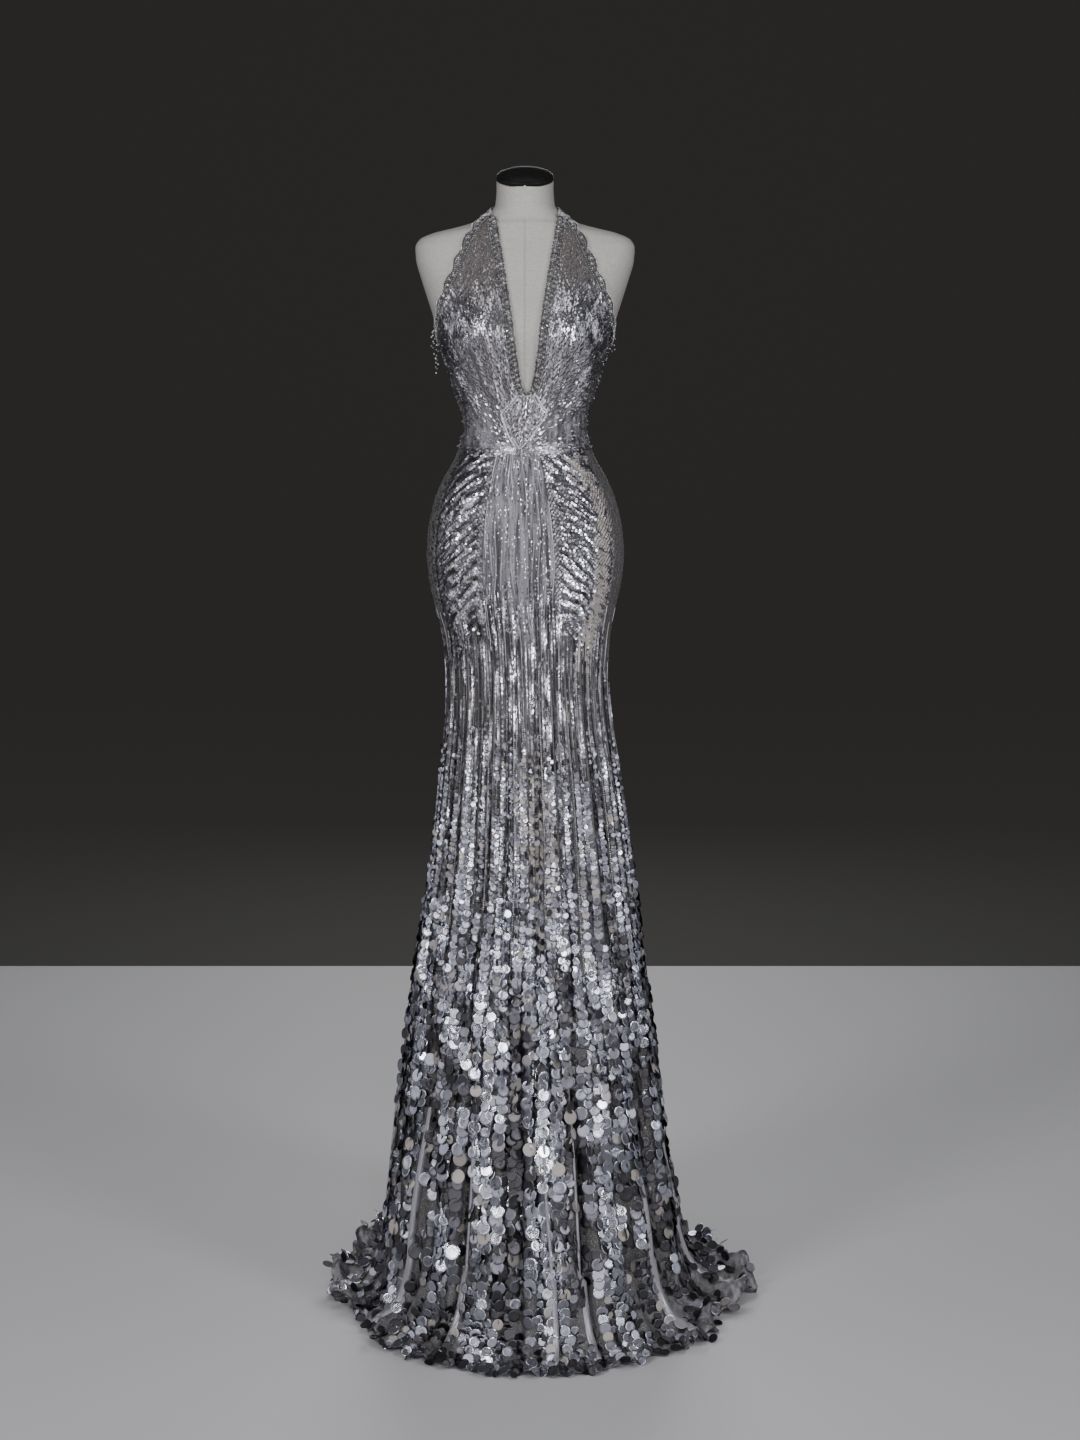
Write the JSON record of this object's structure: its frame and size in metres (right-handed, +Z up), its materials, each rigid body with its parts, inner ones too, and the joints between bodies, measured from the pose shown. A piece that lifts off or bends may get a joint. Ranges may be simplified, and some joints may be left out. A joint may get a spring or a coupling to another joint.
{
  "type": "evening gown on a dress form",
  "caption": "Floor-length halter evening gown with a plunging neckline, bare back, sequins and a ruffled hem, on a limbless dress form with a pole stand",
  "frame": {"origin": "on the floor, under the middle of the whole outline; the pole of the stand is 22 mm to -X and 57 mm to -Y of it", "axes": "+Z up; the front of the gown faces -Y; +X is to the right of someone who looks at the front"},
  "size_m": [0.6802, 0.7794, 1.7963],
  "materials": {
    "linen": "matt off-white linen over a hard shell",
    "black_wood": "black satin lacquer",
    "steel": "bright",
    "iron": "black satin paint",
    "silver_mesh": "fine grey mesh sewn with small silver beads",
    "silver_sequin": "mesh sewn over with mirror-silver sequins",
    "crystal_trim": "clusters of clear crystal and silver beads"
  },
  "bodies": {
    "root": {"form_torso": "linen", "neck_cap": "black_wood", "cap_screw": "steel", "stand_pole": "iron", "stand_base": "iron", "bodice_front_left": "silver_mesh", "bodice_front_right": "silver_mesh", "bodice_back_left": "silver_mesh", "bodice_back_right": "silver_mesh", "neckline_band_left": "crystal_trim", "neckline_band_right": "crystal_trim", "armhole_edging_left": "crystal_trim", "armhole_edging_right": "crystal_trim", "centre_motif": "crystal_trim", "neck_strap": "crystal_trim", "skirt_front": "silver_sequin", "skirt_side_left": "silver_sequin", "skirt_side_right": "silver_sequin", "skirt_back_left": "silver_sequin", "skirt_back_right": "silver_sequin", "hem_flounce_front": "silver_sequin", "hem_flounce_back_left": "silver_sequin", "hem_flounce_back_right": "silver_sequin"}
  },
  "joints": []
}
